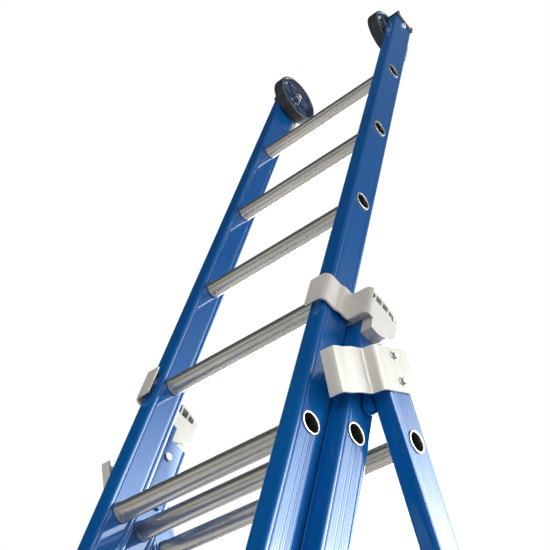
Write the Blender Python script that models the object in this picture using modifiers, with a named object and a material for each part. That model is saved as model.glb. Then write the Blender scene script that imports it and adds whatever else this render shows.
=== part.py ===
"""Three-section combination ladder, standing as an A-frame with its top section raised.

Metres, +Z up, origin on the floor under the middle of the ladder. +X runs along the rungs,
-Y is the climbing side. Each section is modelled in its own frame: x along its rungs, y towards
the back, z up its stiles, with the origin on its top rung's axis.
"""
import math

import bmesh
import bpy
from mathutils import Euler, Matrix, Vector

NAME = "combination_ladder"

# Sections
PITCH = 0.28                # between rungs
RUNGS = 7                   # in each section
RAISED_PITCHES = 4          # the top section stands this many pitches above its lowest place
HOOK_DROP = 0.022           # its rungs stay this far below the middle section's rungs
LEAN = math.radians(19.4)   # of the front and of the rear stiles, from the vertical
SECTION_STEP = 0.060        # from the top section's rung plane back to the middle section's
REAR_STEP = 0.050           # from there back to the rear section's, folded away
TOP_INNER = 0.164           # half the clear width of each section
MID_INNER = 0.1885
REAR_INNER = 0.2255

# Stiles and rungs
STILE_WIDTH = 0.031
STILE_FRONT = 0.028         # from the rung axis to the front face
STILE_BACK = 0.0305
STILE_CORNER = 0.007
STILE_WALL = 0.002
TOP_END = 0.290             # from the top section's first rung up to its stile end
TOP_DROP = 0.200            # from its last rung down to its stile end
MID_END = 0.1885            # the middle stiles end under the hinge heads
MID_FRONT_END = 0.2187      # their front parts reach up behind the guide brackets
MID_STEP = -0.008           # back of those front parts
MID_DROP = 0.240
REAR_END = 0.1385
RUNG_RADIUS = 0.015
RUNG_BORE = 0.0134
FLARE_RADIUS = 0.0172
FLARE_OUT = 0.002
RUNG_SIDES = 12

# Hinge between the middle and the rear section
PIVOT = Vector((0.0, 0.0104, 0.0599))    # in the middle section's frame
PIN_RADIUS = 0.005
PIN_HEAD = 0.008
EYE_BORE = 0.0054
EYE_RADIUS = 0.0125
PLATE_IN = 0.2222           # hinge plates, between the middle and the rear stiles
PLATE_OUT = 0.2252
HEAD_FACE = 0.2365          # outer face of the hinge heads
HEAD_BACK = 0.0275
HEAD_FRONT = -0.0413
HEAD_LOW = 0.186
HEAD_CORNER = 0.0073
CHAMBER_FLOOR = 0.2515
CROWN_CENTRE = (-0.013, 0.196)
CROWN_RADIUS = 0.0765
RIVET = (-0.004, 0.154)     # back and up, through the inner wall of a middle stile

# Brackets
SHEET = 0.0028
BRACKET_LOW = 0.209         # guide brackets, up the middle stiles
BRACKET_HIGH = 0.272
WRAP_LOW = 0.0715           # rear brackets, up the rear stiles
WRAP_HIGH = 0.140
WRAP_SLANT = 0.13           # they lean back by this slope
BOLTS = ((0.0105, 0.088), (0.009, 0.127))    # back and up, in the rear section

# Wheels
WHEEL_RADIUS = 0.064
WHEEL_IN = 0.1340           # inner side of the tyre, from the middle plane
WHEEL_OUT = 0.1625
AXLE_HEIGHT = 0.270
AXLE_RADIUS = 0.004

# Rung locks, turned clear of the rungs
LOCK_TURN = math.radians(70.0)
LOCK_IN = 0.154
LOCK_OUT = 0.160

GAP = 0.0003                # between pieces that touch
BIG = 0.5                   # reach of cutters that go right through

LIFT = RAISED_PITCHES * PITCH - HOOK_DROP
LADDER_LENGTH = (RUNGS - 1) * PITCH
FOOT_DEPTH = 0.020          # from the stile's end to the sole, on the stile's axis
FOOT_SPREAD = 0.003         # past the stile at the front and the back
FOOT_FLANK = 0.0024         # past the stile at the sides, so that folded feet pass each other


# ---------------------------------------------------------------- scene, frames, materials
def clear_scene():
    for obj in list(bpy.data.objects):
        bpy.data.objects.remove(obj, do_unlink=True)


def new_collection(name):
    collection = bpy.data.collections.new(name)
    bpy.context.scene.collection.children.link(collection)
    return collection


def new_frame(name, parent=None, location=(0, 0, 0), turn=0.0):
    frame = bpy.data.objects.new(name, None)
    frame.empty_display_size = 0.1
    PARTS.objects.link(frame)
    frame.parent = parent
    frame.location = location
    frame.rotation_euler = (turn, 0.0, 0.0)
    return frame


def new_material(name, colour, metallic, roughness):
    material = bpy.data.materials.new(name)
    material.use_nodes = True
    shader = material.node_tree.nodes["Principled BSDF"]
    shader.inputs["Base Color"].default_value = (*colour, 1.0)
    shader.inputs["Metallic"].default_value = metallic
    shader.inputs["Roughness"].default_value = roughness
    material.diffuse_color = (*colour, 1.0)
    return material


# ---------------------------------------------------------------- outlines
def arc(centre, radius, start, end, steps):
    """Points on an arc, with the angles in degrees."""
    points = []
    for i in range(steps + 1):
        angle = math.radians(start + (end - start) * i / steps)
        points.append((centre[0] + radius * math.cos(angle), centre[1] + radius * math.sin(angle)))
    return points


def rounded_box(x0, x1, y0, y1, radius, steps):
    corners = [(x1 - radius, y1 - radius, 0), (x0 + radius, y1 - radius, 90),
               (x0 + radius, y0 + radius, 180), (x1 - radius, y0 + radius, 270)]
    points = []
    for cx, cy, start in corners:
        points += arc((cx, cy), radius, start, start + 90, steps)
    return points


def rounded_path(corners, steps=4):
    """A path of (x, y, radius) corners, with each inner corner turned into an arc."""
    points = [Vector(corners[0][:2])]
    for before, here, after in zip(corners, corners[1:], corners[2:]):
        corner = Vector(here[:2])
        to_before = (Vector(before[:2]) - corner).normalized()
        to_after = (Vector(after[:2]) - corner).normalized()
        half = to_before.angle(to_after) / 2
        reach = here[2] / math.tan(half)
        centre = corner + (to_before + to_after).normalized() * here[2] / math.sin(half)
        first = corner + to_before * reach - centre
        last = corner + to_after * reach - centre
        sweep = first.angle_signed(last)
        for i in range(steps + 1):
            turned = first.copy()
            turned.rotate(Matrix.Rotation(-sweep * i / steps, 2))
            points.append(centre + turned)
    points.append(Vector(corners[-1][:2]))
    return points


def strip(path, thickness):
    """The closed outline of a sheet that is bent along a path."""
    left, right = [], []
    for i, point in enumerate(path):
        ahead = (path[min(i + 1, len(path) - 1)] - path[max(i, 0)])
        behind = (path[i] - path[max(i - 1, 0)])
        if ahead.length == 0:
            ahead = behind
        if behind.length == 0:
            behind = ahead
        normal = Vector((-ahead.y, ahead.x)).normalized() + Vector((-behind.y, behind.x)).normalized()
        normal.normalize()
        stretch = normal.dot(Vector((-ahead.y, ahead.x)).normalized())
        offset = normal * (thickness / 2 / stretch)
        left.append(tuple(point + offset))
        right.append(tuple(point - offset))
    return left + right[::-1]


# ---------------------------------------------------------------- solids
ALONG_X = Euler((math.radians(90), 0.0, math.radians(90))).to_matrix().to_4x4()
TURNED_X = Euler((0.0, math.radians(90), 0.0)).to_matrix().to_4x4()


def place(name, mesh, frame, material):
    obj = bpy.data.objects.new(name, mesh)
    PARTS.objects.link(obj)
    obj.parent = frame
    mesh.materials.append(material)
    return obj


def as_cutter(obj, frame=None):
    PARTS.objects.unlink(obj)
    CUTTERS.objects.link(obj)
    if frame is not None:
        obj.parent = frame
    obj.hide_render = True
    obj.display_type = "WIRE"
    return obj


def outline_mesh(name, loops, low, high, matrix=None):
    """Extrude flat loops, the first outside and the rest holes, from low to high."""
    curve = bpy.data.curves.new(name, "CURVE")
    curve.dimensions = "2D"
    curve.fill_mode = "BOTH"
    curve.extrude = (high - low) / 2
    for loop in loops:
        spline = curve.splines.new("POLY")
        spline.points.add(len(loop) - 1)
        spline.use_cyclic_u = True
        for point, (u, v) in zip(spline.points, loop):
            point.co = (u, v, 0.0, 1.0)
    holder = bpy.data.objects.new(name, curve)
    bpy.context.scene.collection.objects.link(holder)
    graph = bpy.context.evaluated_depsgraph_get()
    mesh = bpy.data.meshes.new_from_object(holder.evaluated_get(graph))
    bpy.data.objects.remove(holder, do_unlink=True)
    bpy.data.curves.remove(curve)
    bm = bmesh.new()
    bm.from_mesh(mesh)
    bmesh.ops.remove_doubles(bm, verts=bm.verts, dist=1e-6)
    bmesh.ops.translate(bm, verts=bm.verts, vec=(0, 0, (low + high) / 2))
    if matrix is not None:
        bmesh.ops.transform(bm, verts=bm.verts, matrix=matrix)
    bmesh.ops.recalc_face_normals(bm, faces=bm.faces)
    bm.to_mesh(mesh)
    bm.free()
    mesh.name = name
    return mesh


def upright(name, loops, low, high, frame, material):
    """A profile in x and y, extruded up the stile."""
    return place(name, outline_mesh(name, loops, low, high), frame, material)


def sideways(name, loops, low, high, frame, material):
    """A profile in y and z, extruded along x."""
    return place(name, outline_mesh(name, loops, low, high, ALONG_X), frame, material)


def box(name, low, high, frame, material):
    bm = bmesh.new()
    bmesh.ops.create_cube(bm, size=1.0)
    size = [b - a for a, b in zip(low, high)]
    centre = [(a + b) / 2 for a, b in zip(low, high)]
    bmesh.ops.scale(bm, verts=bm.verts, vec=size)
    bmesh.ops.translate(bm, verts=bm.verts, vec=centre)
    mesh = bpy.data.meshes.new(name)
    bm.to_mesh(mesh)
    bm.free()
    return place(name, mesh, frame, material)


def rods(name, rows, frame, material, sides=RUNG_SIDES):
    """Round bars along x, each (low x, high x, y, z, radius), in one mesh."""
    bm = bmesh.new()
    for low, high, y, z, radius in rows:
        spot = Matrix.Translation(((low + high) / 2, y, z)) @ TURNED_X
        bmesh.ops.create_cone(bm, cap_ends=True, segments=sides, radius1=radius, radius2=radius,
                              depth=high - low, matrix=spot)
    mesh = bpy.data.meshes.new(name)
    bm.to_mesh(mesh)
    bm.free()
    return place(name, mesh, frame, material)


def turned(name, profile, frame, location, material, sides):
    """A closed (radius, height) profile turned about an axis that lies along x."""
    mesh = bpy.data.meshes.new(name)
    points = [(radius, 0.0, height) for radius, height in profile]
    edges = [(i, (i + 1) % len(points)) for i in range(len(points))]
    mesh.from_pydata(points, edges, [])
    obj = place(name, mesh, frame, material)
    obj.location = location
    obj.rotation_euler = (0.0, math.radians(90), 0.0)
    screw = obj.modifiers.new("Turn", "SCREW")
    screw.axis = "Z"
    screw.steps = sides
    screw.render_steps = sides
    screw.use_merge_vertices = True
    screw.merge_threshold = 0.00001
    screw.use_smooth_shade = True
    return obj


def combine(obj, other, operation):
    modifier = obj.modifiers.new(operation.title(), "BOOLEAN")
    modifier.operation = operation
    modifier.solver = "EXACT"
    modifier.object = as_cutter(other) if other.name in PARTS.objects else other


def union(obj, other):
    combine(obj, other, "UNION")


def cut(obj, other):
    combine(obj, other, "DIFFERENCE")


# ---------------------------------------------------------------- stiles and rungs
def stile_loops(inner, side):
    """The hollow stile's outer and inner outlines."""
    outer = rounded_box(inner, inner + STILE_WIDTH, -STILE_FRONT, STILE_BACK, STILE_CORNER, 3)
    hollow = hollow_loop(inner, 0.0)
    return [[(side * x, y) for x, y in outer], [(side * x, y) for x, y in hollow]]


def hollow_loop(inner, clear):
    """The outline of the hollow in a stile, or of a plug that is clear of its walls."""
    wall = STILE_WALL + clear
    return rounded_box(inner + wall, inner + STILE_WIDTH - wall, -STILE_FRONT + wall,
                       STILE_BACK - wall, 0.004, 1)


def add_section(label, frame, inner, top, bottom, bolt_holes=()):
    """The two stiles and the rungs of one section; returns the stiles by side."""
    rows = [(-BIG, BIG, 0.0, -k * PITCH, RUNG_RADIUS + GAP) for k in range(RUNGS)]
    cutter = as_cutter(rods(label + "_hole_cutter", rows + list(bolt_holes), frame, ALUMINIUM))
    stiles = {}
    for side, mark in SIDES:
        stile = upright(f"{label}_stile_{mark}", stile_loops(inner, side), bottom, top, frame, BLUE)
        cut(stile, cutter)
        stiles[mark] = stile
    outer = inner + STILE_WIDTH
    for k in range(RUNGS):
        add_rung(f"{label}_rung_{k + 1}", frame, -k * PITCH, outer)
    return stiles


def add_rung(name, frame, height, outer):
    """A tube that is flared outside both stiles."""
    flare = outer + GAP
    end = outer + FLARE_OUT
    profile = [(RUNG_RADIUS, flare), (RUNG_RADIUS, -flare), (FLARE_RADIUS, -end),
               (RUNG_BORE, -end), (RUNG_BORE, end), (FLARE_RADIUS, end)]
    return turned(name, profile, frame, (0.0, 0.0, height), ALUMINIUM, RUNG_SIDES)


def add_plug_cap(name, frame, inner, side, end, thickness, spread, depth, material):
    """A cap on a stile's end, with a plug in its hollow; thickness is signed, up or down."""
    way = math.copysign(1.0, thickness)
    cap = rounded_box(inner - spread, inner + STILE_WIDTH + spread, -STILE_FRONT - spread,
                      STILE_BACK + spread, STILE_CORNER, 3)
    plug = hollow_loop(inner, GAP)
    low, high = sorted((end + way * GAP, end + thickness))
    body = upright(name, [[(side * x, y) for x, y in cap]], low, high, frame, material)
    low, high = sorted((end - way * depth, end + way * 0.002))
    stem = upright(name + "_plug", [[(side * x, y) for x, y in plug]], low, high, frame, material)
    union(body, stem)
    return body


# ---------------------------------------------------------------- top section
def wheel_profile():
    """Hub disc with a rim, a recessed web and a centre boss, about its own middle."""
    half = (WHEEL_OUT - WHEEL_IN) / 2 - 0.0005
    rim, inside, bore, web, boss = 0.0595, 0.056, AXLE_RADIUS + 0.0005, 0.0025, 0.013
    return [(rim, half), (rim, -half), (inside, -half), (inside, -web), (boss, -web), (boss, -half),
            (bore, -half), (bore, half), (boss, half), (boss, web), (inside, web), (inside, half)]


def tyre_profile():
    half = (WHEEL_OUT - WHEEL_IN) / 2
    inside, shoulder = 0.0598, 0.0012
    return [(WHEEL_RADIUS, half - shoulder), (WHEEL_RADIUS, -half + shoulder),
            (WHEEL_RADIUS - shoulder, -half), (inside, -half), (inside, half),
            (WHEEL_RADIUS - shoulder, half)]


def add_wheel(side, mark, frame):
    """A wall wheel on a fixed bolt through the stile's end."""
    spot = (side * (WHEEL_IN + WHEEL_OUT) / 2, 0.0, AXLE_HEIGHT)
    turned(f"wheel_hub_{mark}", wheel_profile(), frame, spot, BLACK, 24)
    turned(f"tyre_{mark}", tyre_profile(), frame, spot, RUBBER, 24)
    outer = TOP_INNER + STILE_WIDTH
    bolt_pieces = [(side, WHEEL_IN - 0.004, outer + 0.001, AXLE_RADIUS),
                   (side, WHEEL_IN - 0.007, WHEEL_IN - 0.001, 0.008),
                   (side, outer + GAP, outer + 0.002, 0.008)]
    add_bolt(f"axle_{mark}", bolt_pieces, 0.0, AXLE_HEIGHT, frame, STEEL)


def add_bolt(name, pieces, y, z, frame, material):
    """A bolt along x from overlapping round bars, each (side, near x, far x, radius)."""
    solids = []
    for i, (side, near, far, radius) in enumerate(pieces):
        low, high = sorted((side * near, side * far))
        label = name if i == 0 else f"{name}_{i}"
        solids.append(rods(label, [(low, high, y, z, radius)], frame, material))
    for other in solids[1:]:
        union(solids[0], other)
    return solids[0]


def add_top_section(frame):
    bottom = -LADDER_LENGTH - TOP_DROP
    axle_hole = (-BIG, BIG, 0.0, AXLE_HEIGHT, AXLE_RADIUS + GAP)
    add_section("top", frame, TOP_INNER, TOP_END, bottom, [axle_hole])
    for side, mark in SIDES:
        add_wheel(side, mark, frame)
        add_plug_cap(f"top_cap_{mark}", frame, TOP_INNER, side, TOP_END, 0.018, 0.001, 0.008, BLACK)
        add_plug_cap(f"top_shoe_{mark}", frame, TOP_INNER, side, bottom, -0.012, 0.001, 0.020, BLACK)
        low, high = sorted((side * 0.166, side * 0.184))
        pad = box(f"top_buffer_{mark}", (low, STILE_BACK + GAP, 0.155),
                  (high, STILE_BACK + 0.0128, 0.235), frame, GREY)
        bevel = pad.modifiers.new("Round", "BEVEL")
        bevel.width = 0.003
        bevel.segments = 2
        add_lock(side, mark, frame)


def add_lock(side, mark, frame):
    """A hook on the lowest rung that drops over a rung of the middle section."""
    holder = new_frame(f"lock_axis_{mark}", frame, (0.0, 0.0, -LADDER_LENGTH), LOCK_TURN)
    rung = (SECTION_STEP, HOOK_DROP)       # the caught rung's axis, from the lowest rung's
    back = 0.080                           # the hook's inside behind it, clear as it swings
    top = rung[1] + RUNG_RADIUS + GAP
    front = rung[0] - RUNG_RADIUS - 0.0012
    body = arc((0.0, 0.0), 0.021, 60, 300, 12)
    body += [(0.030, -0.018), (front, -0.004), (front, top - 0.006), (front + 0.006, top),
             (back - 0.004, top), (back, top - 0.004), (back, 0.010), (back + 0.006, 0.010),
             (back + 0.006, top), (back - 0.004, top + 0.009), (front, top + 0.009)]
    bore = arc((0.0, 0.0), RUNG_RADIUS + 0.0007, 0, 337.5, 15)
    low, high = sorted((side * LOCK_IN, side * LOCK_OUT))
    sideways(f"rung_lock_{mark}", [body, bore], low, high, holder, STEEL)


# ---------------------------------------------------------------- middle section
def guide_profile(side):
    """A sheet that hooks round the top section's stile and lies on the hinge head."""
    face = TOP_INNER + STILE_WIDTH + FLARE_OUT + 0.0006 + SHEET / 2
    leaf = HEAD_FACE + GAP + SHEET / 2
    step = HEAD_FRONT - GAP - SHEET / 2
    bend = HEAD_CORNER + GAP + SHEET / 2
    front = -SECTION_STEP - 0.0385
    corners = [(TOP_INNER + 0.002, front, 0), (face, front, 0.011), (face, -0.070, 0.012),
               (face + 0.0035, -0.061, 0.012), (face + 0.0045, step, 0.006), (leaf, step, bend),
               (leaf, 0.011, 0)]
    path = rounded_path(corners)
    return [(side * x, y) for x, y in strip(path, SHEET)]


def head_underside():
    """The rounded bottom of a hinge head's outer part, from its front to its back."""
    return [(-0.028, HEAD_LOW), (-0.015, HEAD_LOW - 0.0003), (-0.004, HEAD_LOW + 0.0035),
            (0.006, HEAD_LOW + 0.0095), (0.0145, HEAD_LOW + 0.0175), (HEAD_BACK, HEAD_LOW + 0.032)]


def head_crown():
    """The arched top of a hinge head, from its back to its front."""
    return arc(CROWN_CENTRE, CROWN_RADIUS, 57.5, 111.7, 8)


def head_outline():
    """The side view of a hinge head."""
    outline = head_underside() + [(HEAD_BACK, 0.250)] + head_crown()
    ledge = MID_FRONT_END + GAP
    return outline + [(HEAD_FRONT, 0.262), (HEAD_FRONT, ledge), (-0.028, ledge)]


def head_chambers():
    """Four chambers that run through under the arched top."""
    radius = CROWN_RADIUS - 0.0035
    chambers = []
    for front, back in ((-0.0375, -0.0285), (-0.0255, -0.0125), (-0.0095, 0.0035), (0.0065, 0.0185)):
        roof = []
        for across in (back, (front + back) / 2, front):
            rise = math.sqrt(radius ** 2 - (across - CROWN_CENTRE[0]) ** 2)
            roof.append((across, CROWN_CENTRE[1] + rise))
        chambers.append([(front, CHAMBER_FLOOR), (back, CHAMBER_FLOOR)] + roof)
    return chambers


def head_corner(side):
    """What is cut off the head's square corner, so that it follows the guide bracket's bend."""
    x, y = HEAD_FACE - HEAD_CORNER, HEAD_FRONT + HEAD_CORNER
    edge = arc((x, y), HEAD_CORNER, 0, -90, 4)
    around = [(x, y - BIG), (HEAD_FACE + BIG, y - BIG), (HEAD_FACE + BIG, y)]
    return [(side * px, py) for px, py in edge + around]


def add_hinge_head(side, mark, frame):
    """The chambered head on the middle stile, with its tang and the tang's rivet, in one piece."""
    def span(near, far):
        return sorted((side * near, side * far))
    low, high = span(MID_INNER, HEAD_FACE)
    head = sideways(f"hinge_head_{mark}", [head_outline()], low, high, frame, CAST)
    low, high = span(0.1, MID_INNER + STILE_WIDTH + GAP)
    end, front_end, step = MID_END + GAP, MID_FRONT_END + GAP, MID_STEP + GAP
    below = [(-0.1, 0.1), (0.1, 0.1), (0.1, end), (step, end), (step, front_end), (-0.1, front_end)]
    cut(head, sideways(f"head_end_cutter_{mark}", [below], low, high, frame, CAST))
    low, high = span(0.1, 0.1995)
    cut(head, box(f"head_front_cutter_{mark}", (low, -0.1, 0.1), (high, -0.0275, 0.4), frame, CAST))
    cut(head, upright(f"corner_cutter_{mark}", [head_corner(side)], 0.1, 0.4, frame, CAST))
    low, high = span(0.1, BIG)
    cut(head, sideways(f"chamber_cutter_{mark}", head_chambers(), low, high, frame, CAST))
    low, high = span(0.1915, 0.2165)
    tang = box(f"head_tang_{mark}", (low, -0.022, 0.135), (high, 0.0175, 0.2205), frame, CAST)
    low, high = span(MID_INNER - GAP - 0.003, 0.193)
    shank = rods(f"head_shank_{mark}", [(low, high, *RIVET, 0.003)], frame, CAST)
    low, high = span(MID_INNER - GAP - 0.003, MID_INNER - GAP)
    rivet = rods(f"head_rivet_{mark}", [(low, high, *RIVET, 0.007)], frame, CAST)
    for piece in (tang, shank, rivet):
        union(head, piece)


def add_hinge_pin(side, mark, frame):
    inner, outer = MID_INNER - GAP, MID_INNER + STILE_WIDTH + GAP
    pieces = [(side, inner - 0.004, PLATE_OUT + 0.004, PIN_RADIUS),
              (side, inner - 0.004, inner, PIN_HEAD), (side, outer, PLATE_IN - GAP, PIN_HEAD),
              (side, PLATE_OUT + GAP, PLATE_OUT + 0.004, PIN_HEAD)]
    add_bolt(f"hinge_pin_{mark}", pieces, PIVOT.y, PIVOT.z, frame, BLUE)


def add_foot(name, frame, inner, side, end, lean):
    """A rubber foot whose sole is level when the section leans."""
    front, back = -STILE_FRONT - FOOT_SPREAD, STILE_BACK + FOOT_SPREAD
    slope = math.tan(lean)
    sole_front = end - FOOT_DEPTH + slope * front
    sole_back = end - FOOT_DEPTH + slope * back
    top = end - GAP
    outline = [(front, top), (back, top), (back, sole_back), (front, sole_front)]
    low, high = sorted((side * (inner - FOOT_FLANK), side * (inner + STILE_WIDTH + FOOT_FLANK)))
    foot = sideways(name, [outline], low, high, frame, RUBBER)
    loop = [(side * x, y) for x, y in hollow_loop(inner, GAP)]
    plug = upright(name + "_plug", [loop], end - 0.003, end + 0.030, frame, RUBBER)
    union(foot, plug)


def add_guide_bracket(side, mark, frame):
    """The leaf lies lower than the rest: its bottom follows the head's, its top is below the chambers."""
    bracket = upright(f"guide_bracket_{mark}", [guide_profile(side)], HEAD_LOW, BRACKET_HIGH, frame, CAST)
    low, high = sorted((side * 0.1, side * BIG))
    front = [(-BIG, 0.1), (-0.0285, 0.1), (-0.0285, BRACKET_LOW), (-BIG, BRACKET_LOW)]
    cut(bracket, sideways(f"bracket_cutter_{mark}", [front], low, high, frame, CAST))
    below = [(-0.0285, 0.1), (0.1, 0.1), (0.1, HEAD_LOW + 0.1)] + head_underside()[::-1]
    below += [(-0.0285, HEAD_LOW)]
    cut(bracket, sideways(f"leaf_cutter_{mark}", [below], low, high, frame, CAST))
    leaf_top = CHAMBER_FLOOR - 0.001
    above = (low, -0.036, leaf_top), (high, 0.1, 0.4)
    cut(bracket, box(f"top_cutter_{mark}", *above, frame, CAST))


def add_middle_section(frame):
    bottom = -LADDER_LENGTH - MID_DROP
    holes = [(-BIG, BIG, PIVOT.y, PIVOT.z, PIN_RADIUS + GAP), (-0.2, 0.2, *RIVET, 0.003 + GAP)]
    stiles = add_section("mid", frame, MID_INNER, MID_FRONT_END, bottom, holes)
    for side, mark in SIDES:
        low, high = sorted((side * 0.1, side * BIG))
        notch = (low, MID_STEP, MID_END), (high, 0.1, 0.4)
        cut(stiles[mark], box(f"notch_cutter_{mark}", *notch, frame, BLUE))
        add_hinge_head(side, mark, frame)
        add_hinge_pin(side, mark, frame)
        add_guide_bracket(side, mark, frame)
        add_foot(f"mid_foot_{mark}", frame, MID_INNER, side, bottom, LEAN)


# ---------------------------------------------------------------- rear section
def wrap_profile(side):
    """A sheet bolted on the rear stile that steps inwards and hooks round the middle stile."""
    face = REAR_INNER + STILE_WIDTH + GAP + SHEET / 2
    corners = [(face, 0.045, 0), (face, -0.0385, 0.008), (face - 0.0182, -0.0445, 0.006),
               (face - 0.0194, -0.072, 0.015), (face - 0.0245, -0.084, 0.012),
               (face - 0.0255, -0.1045, 0.007), (face - 0.0462, -0.1052, 0)]
    path = rounded_path(corners)
    return [(side * x, y) for x, y in strip(path, SHEET)]


def add_rear_bracket(side, mark, frame, holes):
    bracket = upright(f"rear_bracket_{mark}", [wrap_profile(side)], WRAP_LOW, WRAP_HIGH, frame, CAST)
    for vertex in bracket.data.vertices:
        vertex.co.y += WRAP_SLANT * (vertex.co.z - (WRAP_LOW + WRAP_HIGH) / 2)
    cut(bracket, holes)


def add_hinge_plate(side, mark, frame, pivot, holes):
    """A plate on the rear stile's inner face, with an eye for the pin and a stop finger."""
    low, high = sorted((side * PLATE_IN, side * PLATE_OUT))
    outline = arc(pivot, EYE_RADIUS, 130, 310, 9)
    outline += [(0.018, 0.066), (0.024, 0.110), (0.036, 0.140), (0.0520, 0.1665), (0.0480, 0.1683)]
    outline += [(0.030, 0.158), (-0.004, 0.128)]
    bore = arc(pivot, EYE_BORE, 0, 330, 11)
    plate = sideways(f"hinge_plate_{mark}", [outline, bore], low, high, frame, BLUE)
    cut(plate, holes)


def add_rear_bolts(side, mark, frame):
    outside = REAR_INNER + STILE_WIDTH + GAP + SHEET + GAP
    inside = PLATE_IN - GAP
    for number, (back, height) in enumerate(BOLTS, start=1):
        pieces = [(side, inside - 0.0008, outside + 0.003, 0.003),
                  (side, outside, outside + 0.0045, 0.0065), (side, inside - 0.0008, inside, 0.0065)]
        add_bolt(f"rear_bolt_{mark}{number}", pieces, back, height, frame, STEEL)


def add_rear_section(frame, drop):
    bottom = -LADDER_LENGTH - drop
    rows = [(-BIG, BIG, back, height, 0.003 + GAP) for back, height in BOLTS]
    add_section("rear", frame, REAR_INNER, REAR_END, bottom, rows)
    holes = as_cutter(rods("bolt_cutter", rows, frame, STEEL))
    pivot = (PIVOT.y - REAR_STEP, PIVOT.z)
    for side, mark in SIDES:
        add_rear_bracket(side, mark, frame, holes)
        add_hinge_plate(side, mark, frame, pivot, holes)
        add_rear_bolts(side, mark, frame)
        add_foot(f"rear_foot_{mark}", frame, REAR_INNER, side, bottom, -LEAN)


# ---------------------------------------------------------------- the ladder
def front_height():
    """Height of the middle section's top rung above the floor."""
    return (LADDER_LENGTH + MID_DROP + FOOT_DEPTH) * math.cos(LEAN)


def rear_drop(pivot_height):
    """Rear stile below its last rung, so that its foot also stands on the floor."""
    back = PIVOT.y - REAR_STEP
    top_rung = pivot_height - back * math.sin(LEAN) - PIVOT.z * math.cos(LEAN)
    return top_rung / math.cos(LEAN) - LADDER_LENGTH - FOOT_DEPTH


def centre_on_floor(root, parts):
    """Move the ladder so that the middle of its footprint is the origin."""
    bpy.context.view_layer.update()
    graph = bpy.context.evaluated_depsgraph_get()
    depths = []
    for obj in parts.objects:
        if obj.type == "MESH":
            ready = obj.evaluated_get(graph)
            depths += [(ready.matrix_world @ vertex.co).y for vertex in ready.data.vertices]
    root.location.y -= (min(depths) + max(depths)) / 2
    bpy.context.view_layer.update()


clear_scene()
PARTS = new_collection(NAME)
CUTTERS = new_collection(NAME + "_cutters")
SIDES = ((1, "R"), (-1, "L"))
BLUE = new_material("blue_coat", (0.010, 0.085, 0.36), 0.55, 0.28)
ALUMINIUM = new_material("rung_aluminium", (0.66, 0.65, 0.62), 1.0, 0.34)
CAST = new_material("bracket_aluminium", (0.78, 0.77, 0.74), 1.0, 0.38)
STEEL = new_material("zinc_steel", (0.62, 0.62, 0.62), 1.0, 0.32)
BLACK = new_material("black_plastic", (0.018, 0.018, 0.020), 0.0, 0.45)
GREY = new_material("grey_plastic", (0.42, 0.44, 0.45), 0.0, 0.5)
RUBBER = new_material("rubber", (0.022, 0.022, 0.024), 0.0, 0.7)

ROOT = new_frame("ladder_root")
FRONT = new_frame("front_frame", ROOT, (0.0, 0.0, front_height()), -LEAN)
TOP = new_frame("top_frame", FRONT, (0.0, -SECTION_STEP, LIFT))
HINGE_HEIGHT = front_height() - PIVOT.y * math.sin(LEAN) + PIVOT.z * math.cos(LEAN)
HINGE = new_frame("hinge_axis", FRONT, PIVOT, 2 * LEAN)
REAR = new_frame("rear_frame", HINGE, (0.0, REAR_STEP - PIVOT.y, -PIVOT.z))

add_top_section(TOP)
add_middle_section(FRONT)
add_rear_section(REAR, rear_drop(HINGE_HEIGHT))
centre_on_floor(ROOT, PARTS)
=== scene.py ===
"""Looks of the combination ladder: detailed stiles, rungs, wheels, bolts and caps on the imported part."""

import math

import bmesh
import bpy
from mathutils import Euler, Matrix, Vector


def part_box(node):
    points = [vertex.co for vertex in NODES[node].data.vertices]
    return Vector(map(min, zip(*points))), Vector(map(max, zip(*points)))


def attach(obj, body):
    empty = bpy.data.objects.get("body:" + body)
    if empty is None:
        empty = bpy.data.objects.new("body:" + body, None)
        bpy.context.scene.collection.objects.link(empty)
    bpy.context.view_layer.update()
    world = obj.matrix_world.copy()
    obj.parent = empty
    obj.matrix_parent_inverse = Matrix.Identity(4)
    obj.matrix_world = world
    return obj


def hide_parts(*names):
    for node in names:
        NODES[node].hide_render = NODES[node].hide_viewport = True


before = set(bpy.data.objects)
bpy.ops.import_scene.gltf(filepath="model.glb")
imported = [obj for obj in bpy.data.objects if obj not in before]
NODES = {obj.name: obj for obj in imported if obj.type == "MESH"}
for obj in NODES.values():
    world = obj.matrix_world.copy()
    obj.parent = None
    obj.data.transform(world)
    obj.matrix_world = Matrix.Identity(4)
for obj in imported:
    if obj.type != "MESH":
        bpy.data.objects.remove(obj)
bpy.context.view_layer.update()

# ---------------------------------------------------------------- sizes, metres
LEAN = math.radians(19.4)   # of the front and of the rear stiles, from the vertical
PITCH = 0.28                # between rungs
RUNGS = 7                   # in each section
SIDES = ((1, "R"), (-1, "L"))

# A section's frame: x along the rungs, y back, z up the stiles, from the middle of rung 1.
TOP_INNER = 0.164           # from the middle plane to the stiles' inner faces
MID_INNER = 0.1885
REAR_INNER = 0.2255
STILE_WIDTH = 0.031
STILE_FRONT = 0.028         # from the rungs' axes to the stiles' front faces
STILE_BACK = 0.0305
STILE_CORNER = 0.006
STILE_WALL = 0.002
HOLLOW_CORNER = 0.004
LIP = 0.0012                # ridge on the middle stiles, towards the top section
FLUTE = 0.00015             # depth of the fine grooves along the stiles
TOP_END, TOP_BOTTOM = 0.290, -1.880
MID_FRONT_END, MID_BOTTOM = 0.2187, -1.920
MID_END, MID_STEP = 0.1885, -0.008      # the middle stiles end lower behind this y
REAR_END = 0.1385

RUNG_RADIUS = 0.015
RUNG_BORE = 0.0134
FLARE_RADIUS = 0.0172
FLARE_OUT = 0.002

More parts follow.
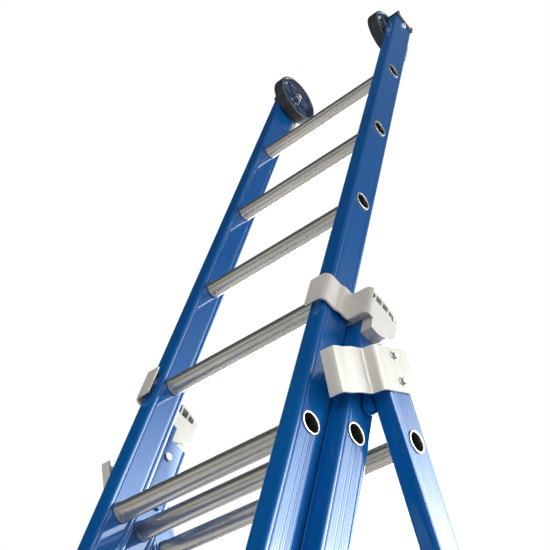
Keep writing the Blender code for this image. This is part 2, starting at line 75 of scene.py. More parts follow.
WHEEL_IN, WHEEL_OUT = 0.1340, 0.1625
WHEEL_RADIUS = 0.064
AXLE_HEIGHT = 0.270
AXLE_BORE = 0.0043

PIN = (0.0104, 0.0599)      # (y, z) of the hinge pins in the middle section
PIN_BORE = 0.0053
RIVET = (-0.004, 0.154)
BOLTS = ((0.0105, 0.088), (0.009, 0.127))   # (y, z) of the rear brackets' bolts
BOLT_BORE = 0.0033
BRACKET_OUT = 0.2596        # outer face of the rear brackets
PLATE_IN = 0.2222           # inner face of the hinge plates

CAP_LOW, CAP_HIGH = TOP_END + 0.0003, TOP_END + 0.018
CAP_OVERHANG = 0.001        # past the stile at the front and the back
CAP_WALL = 0.0016           # past the stile at the sides
BAFFLE_IN, BAFFLE_OUT = 0.2265, 0.2300
PLUG_LOW, PLUG_HIGH = REAR_END - 0.012, REAR_END - 0.001

REACH = 1.0                 # of cutters that go right through
MERGE = 1e-6                # closer points are one point


def middle_of(node):
    low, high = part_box(node)
    return (low + high) / 2


def section_matrix(node, turn):
    """The frame of a section, at the middle of its first rung."""
    return Matrix.Translation(middle_of(node)) @ Matrix.Rotation(turn, 4, "X")


TOP = section_matrix("top_rung_1", -LEAN)
MIDDLE = section_matrix("mid_rung_1", -LEAN)
REAR = section_matrix("rear_rung_1", LEAN)


# ---------------------------------------------------------------- materials
def new_material(name, colour, metallic, roughness, slot):
    """A Principled material, its nodes, its links and its shader."""
    mat = bpy.data.materials.new(name)
    mat.use_nodes = True
    nodes, links = mat.node_tree.nodes, mat.node_tree.links
    shader = nodes["Principled BSDF"]
    shader.inputs["Base Color"].default_value = (*colour, 1)
    shader.inputs["Metallic"].default_value = metallic
    shader.inputs["Roughness"].default_value = roughness
    mat["slot"] = slot
    return mat, nodes, links, shader


def noise(nodes, links, scale, turn=0.0, detail=4.0, stretch=(1, 1, 1)):
    """Noise in the object's own space, stretched along its axes and turned about x."""
    coordinates = nodes.new("ShaderNodeTexCoord")
    mapping = nodes.new("ShaderNodeMapping")
    mapping.vector_type = "TEXTURE"
    mapping.inputs["Rotation"].default_value = (turn, 0, 0)
    mapping.inputs["Scale"].default_value = stretch
    texture = nodes.new("ShaderNodeTexNoise")
    texture.inputs["Scale"].default_value = scale
    texture.inputs["Detail"].default_value = detail
    links.new(coordinates.outputs["Object"], mapping.inputs["Vector"])
    links.new(mapping.outputs["Vector"], texture.inputs["Vector"])
    return texture.outputs["Fac"]


def ramp(nodes, links, source, stops):
    """A colour ramp through (position, colour) stops."""
    node = nodes.new("ShaderNodeValToRGB")
    elements = node.color_ramp.elements
    while len(elements) < len(stops):
        elements.new(0.5)
    for element, (position, colour) in zip(elements, stops):
        element.position = position
        element.color = (*colour, 1)
    links.new(source, node.inputs["Fac"])
    return node.outputs["Color"]


def grey(value):
    return (value, value, value)


def bump(nodes, links, shader, source, strength, distance):
    """A bump on top of the shader's earlier ones."""
    node = nodes.new("ShaderNodeBump")
    node.inputs["Strength"].default_value = strength
    node.inputs["Distance"].default_value = distance
    links.new(source, node.inputs["Height"])
    previous = shader.inputs["Normal"].links
    if previous:
        links.new(previous[0].from_socket, node.inputs["Normal"])
    links.new(node.outputs["Normal"], shader.inputs["Normal"])


def vary(nodes, links, shader, source, colours, roughness):
    """Colour and roughness that follow one noise between two values each."""
    dark, light = colours
    smooth, rough = roughness
    tone = ramp(nodes, links, source, ((0.3, dark), (0.7, light)))
    links.new(tone, shader.inputs["Base Color"])
    level = ramp(nodes, links, source, ((0.3, grey(rough)), (0.7, grey(smooth))))
    links.new(level, shader.inputs["Roughness"])


def blue_coat():
    """Gloss blue coat on extruded aluminium, with faint draw lines and orange peel."""
    look = new_material("blue_coat_look", (0.002, 0.09, 0.34), 0.12, 0.27, "blue_coat")
    mat, nodes, links, shader = look
    shader.inputs["Specular IOR Level"].default_value = 0.02
    shader.inputs["Coat Weight"].default_value = 1.0
    shader.inputs["Coat Roughness"].default_value = 0.07
    cloud = noise(nodes, links, 9.0, stretch=(1, 1, 6))
    vary(nodes, links, shader, cloud, ((0.0015, 0.080, 0.290), (0.002, 0.115, 0.390)), (0.23, 0.32))
    bump(nodes, links, shader, noise(nodes, links, 500.0, detail=1.0, stretch=(1, 1, 140)), 0.010, 0.0002)
    bump(nodes, links, shader, noise(nodes, links, 90.0, detail=1.0), 0.012, 0.0003)
    return mat


def rung_aluminium():
    """Bare drawn tube: warm grey, with lines along it, dull handling marks and painted shade in its bore."""
    look = new_material("rung_look", (0.6, 0.57, 0.52), 0.85, 0.3, "rung_aluminium")
    mat, nodes, links, shader = look
    cloud = noise(nodes, links, 26.0, stretch=(5, 1, 1), detail=6.0)
    vary(nodes, links, shader, cloud, ((0.44, 0.41, 0.36), (0.62, 0.59, 0.54)), (0.22, 0.34))
    # Painted shade: the bore's wall is darkened to stand for the shade inside the tube.
    paint_bore_shade(nodes, links, shader)
    bump(nodes, links, shader, noise(nodes, links, 1500.0, stretch=(200, 1, 1)), 0.22, 0.0002)
    return mat


def paint_bore_shade(nodes, links, shader):
    """Painted shade inside the tube: the colour is darkened on the bore's wall, told by the distance from
    its axis.
    """
    coordinates = nodes.new("ShaderNodeTexCoord")
    across = nodes.new("ShaderNodeVectorMath")
    across.operation = "MULTIPLY"
    across.inputs[1].default_value = (0, 1, 1)
    distance = nodes.new("ShaderNodeVectorMath")
    distance.operation = "LENGTH"
    level = nodes.new("ShaderNodeMapRange")
    level.inputs["From Min"].default_value = RUNG_BORE + 0.0001
    level.inputs["From Max"].default_value = RUNG_BORE + 0.0009
    level.inputs["To Min"].default_value = 0.22
    tint = nodes.new("ShaderNodeMix")
    tint.data_type = "RGBA"
    tint.blend_type = "MULTIPLY"
    tint.inputs["Factor"].default_value = 1.0
    links.new(coordinates.outputs["Object"], across.inputs[0])
    links.new(across.outputs["Vector"], distance.inputs[0])
    links.new(distance.outputs["Value"], level.inputs["Value"])
    links.new(shader.inputs["Base Color"].links[0].from_socket, tint.inputs["A"])
    links.new(level.outputs["Result"], tint.inputs["B"])
    links.new(tint.outputs["Result"], shader.inputs["Base Color"])


def bracket_aluminium(name, turn):
    """Mill-finish extrusion, drawn up the stiles."""
    look = new_material(name, (0.6, 0.57, 0.52), 0.15, 0.4, "bracket_aluminium")
    mat, nodes, links, shader = look
    shader.inputs["Specular IOR Level"].default_value = 0.3
    cloud = noise(nodes, links, 30.0, turn, stretch=(1, 1, 5))
    vary(nodes, links, shader, cloud, ((0.52, 0.49, 0.445), (0.63, 0.605, 0.56)), (0.34, 0.46))
    bump(nodes, links, shader, noise(nodes, links, 1100.0, turn, stretch=(1, 1, 150)), 0.25, 0.0002)
    return mat


def zinc_steel():
    mat, nodes, links, shader = new_material("zinc_look", (0.6, 0.6, 0.6), 1.0, 0.3, "zinc_steel")
    cloud = noise(nodes, links, 300.0)
    vary(nodes, links, shader, cloud, ((0.34, 0.34, 0.33), (0.52, 0.52, 0.51)), (0.30, 0.46))
    bump(nodes, links, shader, noise(nodes, links, 1400.0), 0.12, 0.0002)
    return mat


def plastic(name, dark, light, slot, roughness, grain):
    """Moulded plastic or rubber with a fine grain and worn patches."""
    mat, nodes, links, shader = new_material(name, light, 0.0, roughness, slot)
    cloud = noise(nodes, links, 40.0)
    vary(nodes, links, shader, cloud, (dark, light), (roughness - 0.07, roughness + 0.08))
    bump(nodes, links, shader, noise(nodes, links, 1600.0, detail=2.0), grain, 0.0003)
    return mat


BLUE = blue_coat()
RUNG = rung_aluminium()
FRONT_METAL = bracket_aluminium("front_bracket_look", -LEAN)
REAR_METAL = bracket_aluminium("rear_bracket_look", LEAN)
ZINC = zinc_steel()
BLACK = plastic("black_plastic_look", (0.012, 0.013, 0.016), (0.022, 0.023, 0.027),
                "black_plastic", 0.42, 0.12)
# Black plastic hub. Its colours are painted bluish and lighter as a painted reflection in its dishes.
HUB_PAINTED_REFLECTION = plastic("hub_plastic_painted_reflection_look", (0.030, 0.045, 0.095), (0.050, 0.072, 0.140),
              "black_plastic", 0.22, 0.05)
GREY = plastic("grey_plastic_look", (0.30, 0.33, 0.37), (0.42, 0.45, 0.49),
               "grey_plastic", 0.5, 0.15)
RUBBER = plastic("rubber_look", (0.014, 0.014, 0.016), (0.026, 0.026, 0.028),
                 "rubber", 0.60, 0.35)


# ---------------------------------------------------------------- shapes
def new_object(name, mesh, matrix, material, smooth_angle=35.0):
    obj = bpy.data.objects.new(name, mesh)
    bpy.context.scene.collection.objects.link(obj)
    obj.matrix_world = matrix
    mesh.materials.clear()
    mesh.materials.append(material)
    soften(mesh, smooth_angle)
    return obj


def soften(mesh, angle):
    """Smooth shading with the edges over this angle kept sharp."""
    mesh.polygons.foreach_set("use_smooth", [True] * len(mesh.polygons))
    mesh.set_sharp_from_angle(angle=math.radians(angle))


def show(obj, body, *nodes):
    """obj rides on the body and stands for the nodes, which are hidden."""
    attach(obj, body)
    if nodes:
        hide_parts(*nodes)
    return obj


def cleaned(mesh):
    """The mesh with its double points merged and its faces turned outwards."""
    bm = bmesh.new()
    bm.from_mesh(mesh)
    bmesh.ops.remove_doubles(bm, verts=bm.verts, dist=MERGE)
    bmesh.ops.recalc_face_normals(bm, faces=bm.faces)
    bm.to_mesh(mesh)
    bm.free()
    return mesh


def mesh_from(points, faces):
    mesh = bpy.data.meshes.new("piece")
    mesh.from_pydata([tuple(p) for p in points], [], faces)
    return cleaned(mesh)


def turned(rows, sides):
    """A closed ring of (radius, position) rows turned about the x axis."""
    points, faces = [], []
    count = len(rows)
    for k in range(sides):
        angle = 2 * math.pi * k / sides
        for radius, position in rows:
            points.append((position, radius * math.cos(angle), radius * math.sin(angle)))
    for k in range(sides):
        a, b = k * count, ((k + 1) % sides) * count
        for i in range(count):
            j = (i + 1) % count
            faces.append((a + i, a + j, b + j, b + i))
    return mesh_from(points, faces)


def solid_turned(rows, sides, centre=(0, 0, 0)):
    """A solid turned about an axis along x: the first and last (radius, position) rows are on it."""
    points = [(centre[0] + rows[0][1], centre[1], centre[2])]
    faces = []
    inner = rows[1:-1]
    for radius, position in inner:
        for k in range(sides):
            angle = 2 * math.pi * (k + 0.5) / sides
            points.append((centre[0] + position, centre[1] + radius * math.cos(angle),
                           centre[2] + radius * math.sin(angle)))
    points.append((centre[0] + rows[-1][1], centre[1], centre[2]))
    last = len(points) - 1
    for k in range(sides):
        n = (k + 1) % sides
        faces.append((0, 1 + n, 1 + k))
        for r in range(len(inner) - 1):
            a, b = 1 + r * sides, 1 + (r + 1) * sides
            faces.append((a + k, a + n, b + n, b + k))
        a = 1 + (len(inner) - 1) * sides
        faces.append((a + k, a + n, last))
    return mesh_from(points, faces)


def evaluated_mesh(obj):
    """The object's mesh with its modifiers, or a curve's filled mesh."""
    bpy.context.view_layer.update()
    return bpy.data.meshes.new_from_object(obj.evaluated_get(bpy.context.evaluated_depsgraph_get()))


def extruded(loops, low, high, matrix=Matrix.Identity(4)):
    """A prism of 2D loops, the later ones holes, between two heights along local z."""
    curve = bpy.data.curves.new("outline", "CURVE")
    curve.dimensions = "2D"
    curve.fill_mode = "BOTH"
    curve.extrude = (high - low) / 2
    for loop in loops:
        spline = curve.splines.new("POLY")
        spline.points.add(len(loop) - 1)
        for point, (x, y) in zip(spline.points, loop):
            point.co = (x, y, 0, 1)
        spline.use_cyclic_u = True
    obj = bpy.data.objects.new("outline", curve)
    bpy.context.scene.collection.objects.link(obj)
    mesh = evaluated_mesh(obj)
    bpy.data.objects.remove(obj)
    mesh.transform(matrix @ Matrix.Translation((0, 0, (low + high) / 2)))
    return cleaned(mesh)


SIDEWAYS = Matrix(((0, 0, 1, 0), (1, 0, 0, 0), (0, 1, 0, 0), (0, 0, 0, 1)))    # (y, z) out along x


def sideways(outline, low, high):
    """A prism of a (y, z) outline between two values of x."""
    return extruded([outline], low, high, SIDEWAYS)


def box_mesh(low, high):
    bm = bmesh.new()
    bmesh.ops.create_cube(bm, size=1.0)
    low, high = Vector(low), Vector(high)
    for vertex in bm.verts:
        vertex.co = (low + high) / 2 + Vector(a * b for a, b in zip(vertex.co, high - low))
    mesh = bpy.data.meshes.new("box")
    bm.to_mesh(mesh)
    bm.free()
    return mesh


def joined(meshes):
    """One mesh of all these, side by side."""
    bm = bmesh.new()
    for mesh in meshes:
        bm.from_mesh(mesh)
    result = bpy.data.meshes.new("joined")
    bm.to_mesh(result)
    bm.free()
    return result


def combined(mesh, other, operation):
    """A Boolean of two meshes in the same space."""
    first, second = bpy.data.objects.new("first", mesh), bpy.data.objects.new("second", other)
    for obj in (first, second):
        bpy.context.scene.collection.objects.link(obj)
    modifier = first.modifiers.new("boolean", "BOOLEAN")
    modifier.operation = operation
    modifier.solver = "EXACT"
    modifier.use_self = True
    modifier.object = second
    result = evaluated_mesh(first)
    for obj in (first, second):
        bpy.data.objects.remove(obj)
    return result


def rounded(obj, width):
    """A small bevel on the sharp edges."""
    modifier = obj.modifiers.new("edges", "BEVEL")
    modifier.width = width
    modifier.segments = 2
    modifier.limit_method = "ANGLE"
    modifier.angle_limit = math.radians(40.0)
    modifier.harden_normals = True
    return obj


def arc(centre, radius, start, end, steps):
    """Points on a circle, from one angle to another in degrees."""
    cx, cy = centre
    turns = [math.radians(start + (end - start) * i / steps) for i in range(steps + 1)]
    return [(cx + radius * math.cos(t), cy + radius * math.sin(t)) for t in turns]


# ---------------------------------------------------------------- stiles
def grooved(edge, along, marks):
    """Points of a side face with V grooves: marks are (place, half width, depth in flutes).

    along is 1 for the outer face, drawn towards the back, and -1 for the inner one."""
    points = []
    for place, half, depth in marks:
        points += [(edge, place - half), (edge - along * FLUTE * depth, place), (edge, place + half)]
    if along < 0:
        points.reverse()
    return points


def stile_outline(inner, lip):
    """The extrusion's outline on the right side, with grooves in its inner and outer faces.

    The lip is a ridge on the front inner edge that closes the joint with the section in front."""
    x0, x1, y0, y1, r = inner, inner + STILE_WIDTH, -STILE_FRONT, STILE_BACK, STILE_CORNER
    fine = [(-0.0125 + 0.0042 * i, 0.0007, 1.0) for i in range(7)]
    outer_marks = [(-0.0185, 0.0010, 2.6)] + fine + [(0.0205, 0.0009, 4.0)]
    inner_marks = [(-0.0180, 0.0009, 2.6), (0.0200, 0.0011, 4.0)]
    points = arc((x1 - r, y0 + r), r, -90, 0, 6)
    points += grooved(x1, 1, outer_marks)
    points += arc((x1 - r, y1 - r), r, 0, 90, 6)
    points += arc((x0 + r, y1 - r), r, 90, 180, 6)
    points += grooved(x0, -1, inner_marks)
    if lip:
        return points + [(x0, y0 - lip), (x0 + r - 0.001, y0 - lip), (x0 + r - 0.0005, y0)]
    return points + arc((x0 + r, y0 + r), r, 180, 270, 6)


def hollow_outline(inner):
    r = HOLLOW_CORNER
    x0, x1 = inner + STILE_WALL, inner + STILE_WIDTH - STILE_WALL
    y0, y1 = -STILE_FRONT + STILE_WALL, STILE_BACK - STILE_WALL
    corners = ((x1 - r, y0 + r, -90), (x1 - r, y1 - r, 0), (x0 + r, y1 - r, 90), (x0 + r, y0 + r, 180))
    return [p for x, y, start in corners for p in arc((x, y), r, start, start + 90, 4)]


def mirrored(loop, side):
    return [(side * x, y) for x, y in loop]


def drills(rows):
    """Cylinders along x: rows of (low x, high x, y, z, radius)."""
    meshes = []
    for low, high, y, z, radius in rows:
        rings = ((0, low), (radius, low), (radius, high), (0, high))
        meshes.append(solid_turned(rings, 32, (0, y, z)))
    return joined(meshes)


def add_stiles(label, body, inner, bottom, top, matrix, holes, notch=None, lip=0.0):
    """Both stiles of a section: holes are rows for drills, notch is a box cut from their ends."""
    rung_hole = RUNG_RADIUS + 0.0002
    rows = [(-REACH, REACH, 0, -k * PITCH, rung_hole) for k in range(RUNGS)] + holes
    for side, mark in SIDES:
        loops = [mirrored(stile_outline(inner, lip), side), mirrored(hollow_outline(inner), side)]
        mesh = combined(extruded(loops, bottom, top), drills(rows), "DIFFERENCE")
        if notch:
            mesh = combined(mesh, box_mesh(*notch), "DIFFERENCE")
        name = f"{label}_stile_look_{mark}"
        show(new_object(name, mesh, matrix, BLUE, 30), body, f"{label}_stile_{mark}")


def add_all_stiles():
    through = (-REACH, REACH)
    add_stiles("top", "top_section", TOP_INNER, TOP_BOTTOM, TOP_END, TOP,
               [(*through, 0, AXLE_HEIGHT, AXLE_BORE)])
    hinge_holes = [(*through, *PIN, PIN_BORE), (-0.2, 0.2, *RIVET, BOLT_BORE)]
    behind_step = ((-REACH, MID_STEP, MID_END), (REACH, 0.1, 0.4))
    add_stiles("mid", "middle_section", MID_INNER, MID_BOTTOM, MID_FRONT_END, MIDDLE,
               hinge_holes, behind_step, LIP)
    front_edge = (middle_of("rear_rung_1").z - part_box("rear_stile_R")[0].z) - STILE_FRONT * math.sin(LEAN)
    rear_bottom = -front_edge / math.cos(LEAN)
    add_stiles("rear", "rear_section", REAR_INNER, rear_bottom, REAR_END, REAR,
               [(*through, y, z, BOLT_BORE) for y, z in BOLTS])


# ---------------------------------------------------------------- rungs
def rung_rows(inner):
    """Profile from the bore out round the flare, through the stile, and over the bead inside it."""
    outer = inner + STILE_WIDTH
    end = outer + FLARE_OUT
    half = [(RUNG_BORE, outer - 0.012), (RUNG_BORE, outer - 0.001), (RUNG_BORE + 0.0009, end - 0.0004),
            (FLARE_RADIUS - 0.0012, end), (FLARE_RADIUS - 0.0003, end - 0.0003),
            (FLARE_RADIUS, end - 0.0009), (FLARE_RADIUS - 0.0002, outer + 0.0003),
            (RUNG_RADIUS, outer + 0.0003), (RUNG_RADIUS, inner - 0.0006),
            (RUNG_RADIUS + 0.0011, inner - 0.0008), (RUNG_RADIUS + 0.0014, inner - 0.0022),
            (RUNG_RADIUS + 0.0009, inner - 0.0045), (RUNG_RADIUS, inner - 0.0075)]
    return half + [(radius, -x) for radius, x in reversed(half)]


def add_rungs(label, body, inner, matrix):
    for k in range(RUNGS):
        place = matrix @ Matrix.Translation((0, 0, -k * PITCH))
        obj = new_object(f"{label}_rung_look_{k + 1}", turned(rung_rows(inner), 48), place, RUNG, 40)
        show(obj, body, f"{label}_rung_{k + 1}")


# ---------------------------------------------------------------- wheels
def hub_rows():
    """A deep dish on both sides: rim wall, web and boss."""
    half = (WHEEL_OUT - WHEEL_IN) / 2 - 0.0005
    rim, lip, bore, web, boss = 0.0595, 0.0570, 0.0045, 0.0022, 0.0120
    side = [(rim, half), (lip + 0.001, half), (lip, half - 0.001), (lip - 0.0012, web + 0.004),
            (lip - 0.004, web), (boss + 0.004, web), (boss + 0.001, web + 0.002), (boss, half - 0.0045),
            (boss - 0.0015, half - 0.003), (bore + 0.001, half - 0.003), (bore, half - 0.004)]
    return side + [(radius, -x) for radius, x in reversed(side)]


def tyre_rows():
    """A solid tyre with rounded shoulders and one groove round its tread."""
    half = (WHEEL_OUT - WHEEL_IN) / 2
    inside, tread = 0.0597, WHEEL_RADIUS
    side = [(tread, 0.0018), (tread - 0.0002, half - 0.0035), (tread - 0.0009, half - 0.0014),
            (tread - 0.0018, half - 0.0004), (tread - 0.0026, half), (inside + 0.0006, half),
            (inside, half - 0.0008)]
    groove = [(tread - 0.0007, 0.0009), (tread - 0.0007, -0.0009)]
    mirror = [(radius, -x) for radius, x in reversed(side)]
    return groove[:1] + side + mirror + groove[1:]


def spokes():
    """Six ribs across the web, from the boss to the rim, on both sides of it."""
    meshes = []
    half = 0.0048
    outline = [(0.0105, -0.0016), (0.0575, -0.0011), (0.0575, 0.0011), (0.0105, 0.0016)]
    for k in range(6):
        rib = sideways(outline, -half, half)
        rib.transform(Matrix.Rotation(math.radians(60 * k + 12), 4, "X"))
        meshes.append(rib)
    return joined(meshes)


def add_wheels():
    for side, mark in SIDES:
        centre = (side * (WHEEL_IN + WHEEL_OUT) / 2, 0, AXLE_HEIGHT)
        place = TOP @ Matrix.Translation(centre)
        body = "wheel_right" if side > 0 else "wheel_left"
        hub = combined(turned(hub_rows(), 64), spokes(), "UNION")
        show(new_object(f"hub_look_{mark}", hub, place, HUB_PAINTED_REFLECTION, 32), body, f"wheel_hub_{mark}")
        tyre = turned(tyre_rows(), 72)
        show(new_object(f"tyre_look_{mark}", tyre, place, RUBBER, 32), body, f"tyre_{mark}")


# ---------------------------------------------------------------- bolts
def hex_head(near, far, radius):
    """A chamfered hexagon along x."""
    rows = [(0, near), (radius, near), (radius, far - 0.0008), (radius * 0.86, far), (0, far)]
    return solid_turned(rows, 6)


def to_side(mesh, side, y=0.0, z=0.0):
    """Moves a right-hand mesh to its place on either side of the middle plane."""
    mesh.transform(Matrix.Translation((0, y, z)) @ Matrix.Diagonal((side, 1, 1, 1)))
    if side < 0:
        mesh.flip_normals()


def add_bolt(name, node, body, matrix, side, y, z, tip, seat, sizes):
    """A bolt along x with its washer and hex head at the seat.

    sizes: shank radius, hex radius, hex height, washer radius."""
    shank, hexagon, height, washer = sizes
    rows = [(0, tip), (shank - 0.0008, tip), (shank, tip + 0.0010), (shank, seat), (washer, seat),
            (washer, seat + 0.0007), (washer - 0.0005, seat + 0.0011), (hexagon * 0.8, seat + 0.0011),
            (hexagon * 0.8, seat + height * 0.6), (0, seat + height * 0.6)]
    head = hex_head(seat + 0.0008, seat + height, hexagon)
    mesh = combined(solid_turned(rows, 32), head, "UNION")
    to_side(mesh, side, y, z)
    show(new_object(name, mesh, matrix, ZINC, 30), body, node)


def add_bolts():
    for side, mark in SIDES:
        for number, (y, z) in enumerate(BOLTS, start=1):
            add_bolt(f"rear_bolt_look_{mark}{number}", f"rear_bolt_{mark}{number}", "rear_section", REAR,
                     side, y, z, PLATE_IN - 0.001, BRACKET_OUT, (0.003, 0.0055, 0.0050, 0.0075))
        add_bolt(f"axle_look_{mark}", f"axle_{mark}", "top_section", TOP, -side, 0, AXLE_HEIGHT,
                 -(TOP_INNER + STILE_WIDTH + 0.005), -WHEEL_IN, (0.004, 0.0070, 0.0065, 0.0088))
        add_axle_nut(side, mark)


def add_axle_nut(side, mark):
    """A washer and the rounded end of the axle on the stile's outer face."""
    outer = TOP_INNER + STILE_WIDTH
    rows = [(0, outer - 0.001), (0.0080, outer - 0.001), (0.0080, outer + 0.0005), (0.0074, outer + 0.0012),
            (0.0050, outer + 0.0018), (0.0046, outer + 0.0015), (0, outer + 0.0015)]
    mesh = solid_turned(rows, 24, (0, 0, AXLE_HEIGHT))
    to_side(mesh, side)
    show(new_object(f"axle_nut_{mark}", mesh, TOP, ZINC, 30), "top_section")


# ---------------------------------------------------------------- caps and inserts
def cap_side_view():
    """The (y, z) outline of a top cap: a saddle with raised front and back ends."""
    front, back = -STILE_FRONT - CAP_OVERHANG, STILE_BACK + CAP_OVERHANG
    low, high = CAP_LOW, CAP_HIGH
    view = [(front, low), (back, low)] + arc((back - 0.003, high - 0.003), 0.003, 0, 90, 4)
    view += [(back - 0.007, high)] + arc((back - 0.0135, high - 0.0055), 0.006, 40, -90, 5)[1:]
    view += arc((front + 0.0125, high - 0.0055), 0.006, 270, 140, 5)[:-1] + [(front + 0.006, high)]
    return view + arc((front + 0.003, high - 0.003), 0.003, 90, 180, 4)


def cap_skirt():
    """The (y, z) outline of the flaps that a cap hangs over the stile's sides."""
    front, back = -STILE_FRONT - CAP_OVERHANG, STILE_BACK + CAP_OVERHANG
    joint, shallow, deep = CAP_LOW + 0.001, CAP_LOW - 0.006, CAP_LOW - 0.009
    return [(front, joint), (front, shallow), (front + 0.006, deep), (-0.012, deep),
            (-0.006, shallow), (0.006, shallow), (0.012, deep), (back - 0.006, deep),
            (back, shallow), (back, joint)]


def add_top_caps():
    outer = TOP_INNER + STILE_WIDTH
    flaps = ((outer + 0.0003, outer + CAP_WALL), (TOP_INNER - CAP_WALL, TOP_INNER - 0.0003))
    for side, mark in SIDES:
        near, far = sorted((side * (TOP_INNER - CAP_WALL), side * (outer + CAP_WALL)))
        mesh = sideways(cap_side_view(), near, far)
        for start, end in flaps:
            mesh = combined(mesh, sideways(cap_skirt(), *sorted((side * start, side * end))), "UNION")
        obj = new_object(f"top_cap_look_{mark}", mesh, TOP, BLACK, 30)
        show(rounded(obj, 0.0010), "top_section", f"top_cap_{mark}")


def add_head_shade_baffles():
    """Black webs inside the hinge heads that close their chambers part way in: painted shade for the
    chambers' dark insides.
    """
    outline = [(-0.040, 0.2490), (0.0200, 0.2490), (0.0200, 0.2560), (0.010, 0.2630),
               (-0.004, 0.2680), (-0.018, 0.2690), (-0.030, 0.2675), (-0.040, 0.2650)]
    for side, mark in SIDES:
        near, far = sorted((side * BAFFLE_IN, side * BAFFLE_OUT))
        obj = new_object(f"head_shade_baffle_{mark}", sideways(outline, near, far), MIDDLE, BLACK, 30)
        show(obj, "middle_section")


def add_rear_plugs():
    """Plugs in the rear stiles' open tops."""
    for side, mark in SIDES:
        outline = mirrored(hollow_outline(REAR_INNER), side)
        mesh = extruded([outline], PLUG_LOW, PLUG_HIGH)
        obj = new_object(f"rear_plug_{mark}", mesh, REAR, BLACK)
        show(rounded(obj, 0.0008), "rear_section")


def finish_cad_nodes():
    """Materials and small bevels for the CAD nodes that stay."""
    rows = (("hinge_head", FRONT_METAL, 0.0006), ("guide_bracket", FRONT_METAL, 0.0005),
            ("rear_bracket", REAR_METAL, 0.0005), ("hinge_plate", BLUE, 0.0004), ("hinge_pin", BLUE, 0.0004),
            ("rung_lock", ZINC, 0.0006), ("mid_foot", RUBBER, 0.0012), ("rear_foot", RUBBER, 0.0012),
            ("top_shoe", BLACK, 0.0010), ("top_buffer", GREY, 0.0))
    for prefix, material, width in rows:
        for _, mark in SIDES:
            obj = NODES[f"{prefix}_{mark}"]
            obj.data.materials.clear()
            obj.data.materials.append(material)
            soften(obj.data, 32)
            if width:
                rounded(obj, width)


# ---------------------------------------------------------------- stage
FLOOR_HALF = 12.0
# What gloss sees, from straight down (0) through the horizon (0.5) to straight up (1).
GLOSS_STOPS = ((0.0, 0.03), (0.49, 0.05), (0.52, 0.95), (0.68, 1.0), (0.73, 0.50), (0.78, 0.08),
               (0.83, 0.012), (1.0, 0.025))
GLOSS_STRENGTH = 11.0
GLOSS_TOWARD = (0.58, 0.81, 0.0)    # behind the ladder, to its right
GLOSS_AWAY = 0.06                   # share of the strength on the other side
SOFT_STRENGTH = 0.50
# Name, place, target, size, watts, colour, seen in gloss.
LIGHTS = (
    ("key", (5.2, 4.6, 3.6), (0.1, 0.0, 1.8), (3.0, 2.2), 165, (0.99, 0.99, 1.0), True),
    ("front", (2.2, -4.6, 3.0), (0.0, 0.0, 1.8), (2.4, 2.4), 75, (1.0, 0.97, 0.93), False),
    ("above", (-1.5, 1.5, 6.0), (0.0, 0.0, 2.0), (2.0, 2.0), 120, (1.0, 1.0, 1.0), False))
CAMERA_LENS = 65.35
CAMERA_SENSOR = 36.0
CAMERA_OFFSET = (0.8705, -1.2494, -1.7320)     # from the middle of the top section's first rung
CAMERA_TURN = (129.9186, 1.7763, 41.0549)      # degrees


def add_floor():
    mesh = box_mesh((-FLOOR_HALF, -FLOOR_HALF, -0.05), (FLOOR_HALF, FLOOR_HALF, 0.0))
    floor = bpy.data.objects.new("floor", mesh)
    bpy.context.scene.collection.objects.link(floor)
    mat = bpy.data.materials.new("floor_look")
    mat.use_nodes = True
    shader = mat.node_tree.nodes["Principled BSDF"]
    shader.inputs["Base Color"].default_value = (0.86, 0.86, 0.86, 1)
    shader.inputs["Roughness"].default_value = 0.85
    mesh.materials.append(mat)


def world_levels(nodes, links):
    """A bright band low down behind the ladder, dim above it and in front of it."""
    coordinates = nodes.new("ShaderNodeTexCoord")
    split = nodes.new("ShaderNodeSeparateXYZ")
    links.new(coordinates.outputs["Generated"], split.inputs["Vector"])
    height = nodes.new("ShaderNodeMapRange")
    height.inputs["From Min"].default_value = -1.0
    links.new(split.outputs["Z"], height.inputs["Value"])
    stops = [(place, (level * 0.92, level * 0.99, level)) for place, level in GLOSS_STOPS]
    colour = ramp(nodes, links, height.outputs["Result"], stops)
    toward = nodes.new("ShaderNodeVectorMath")
    toward.operation = "DOT_PRODUCT"
    toward.inputs[1].default_value = GLOSS_TOWARD
    links.new(coordinates.outputs["Generated"], toward.inputs[0])
    behind = nodes.new("ShaderNodeMapRange")
    behind.interpolation_type = "SMOOTHSTEP"
    behind.inputs["From Min"].default_value = -0.25
    behind.inputs["From Max"].default_value = 0.45
    behind.inputs["To Min"].default_value = GLOSS_AWAY
    links.new(toward.outputs["Value"], behind.inputs["Value"])
    strength = nodes.new("ShaderNodeMath")
    strength.operation = "MULTIPLY"
    strength.inputs[1].default_value = GLOSS_STRENGTH
    links.new(behind.outputs["Result"], strength.inputs[0])
    seen = nodes.new("ShaderNodeBackground")
    links.new(colour, seen.inputs["Color"])
    links.new(strength.outputs["Value"], seen.inputs["Strength"])
    return seen.outputs["Background"]


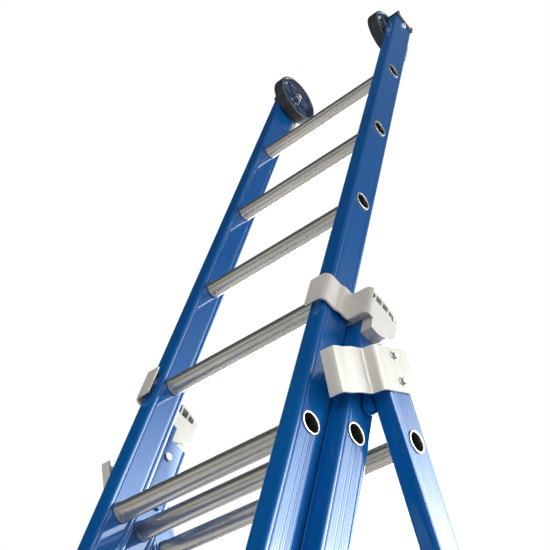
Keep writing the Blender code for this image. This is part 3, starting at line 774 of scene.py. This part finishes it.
def add_world():
    """White behind the ladder, even soft light, and a studio band for the gloss."""
    world = bpy.data.worlds.new("studio")
    bpy.context.scene.world = world
    world.use_nodes = True
    nodes, links = world.node_tree.nodes, world.node_tree.links
    nodes.clear()
    path = nodes.new("ShaderNodeLightPath")
    soft = nodes.new("ShaderNodeBackground")
    soft.inputs["Color"].default_value = (0.97, 0.98, 1.0, 1)
    soft.inputs["Strength"].default_value = SOFT_STRENGTH
    plain = nodes.new("ShaderNodeBackground")
    plain.inputs["Color"].default_value = (1, 1, 1, 1)
    light = nodes.new("ShaderNodeMixShader")
    shown = nodes.new("ShaderNodeMixShader")
    output = nodes.new("ShaderNodeOutputWorld")
    links.new(path.outputs["Is Glossy Ray"], light.inputs["Fac"])
    links.new(soft.outputs["Background"], light.inputs[1])
    links.new(world_levels(nodes, links), light.inputs[2])
    links.new(path.outputs["Is Camera Ray"], shown.inputs["Fac"])
    links.new(light.outputs["Shader"], shown.inputs[1])
    links.new(plain.outputs["Background"], shown.inputs[2])
    links.new(shown.outputs["Shader"], output.inputs["Surface"])


def add_lights():
    for name, location, target, size, power, colour, gloss in LIGHTS:
        data = bpy.data.lights.new(name, "AREA")
        data.shape = "RECTANGLE"
        data.size, data.size_y = size
        data.energy = power
        data.color = colour
        obj = bpy.data.objects.new(name, data)
        bpy.context.scene.collection.objects.link(obj)
        obj.location = location
        aim = Vector(target) - Vector(location)
        obj.rotation_euler = aim.to_track_quat("-Z", "Y").to_euler()
        obj.visible_glossy = gloss


def add_camera():
    data = bpy.data.cameras.new("camera")
    data.lens = CAMERA_LENS
    data.sensor_width = CAMERA_SENSOR
    data.clip_start = 0.02
    camera = bpy.data.objects.new("camera", data)
    bpy.context.scene.collection.objects.link(camera)
    camera.location = middle_of("top_rung_1") + Vector(CAMERA_OFFSET)
    camera.rotation_euler = Euler([math.radians(a) for a in CAMERA_TURN])
    bpy.context.scene.camera = camera


# ---------------------------------------------------------------- the ladder
add_all_stiles()
add_rungs("top", "top_section", TOP_INNER, TOP)
add_rungs("mid", "middle_section", MID_INNER, MIDDLE)
add_rungs("rear", "rear_section", REAR_INNER, REAR)
add_wheels()
add_bolts()
add_top_caps()
add_head_shade_baffles()
add_rear_plugs()
finish_cad_nodes()
add_floor()
add_world()
add_lights()
add_camera()
bpy.context.scene.view_settings.view_transform = "Standard"
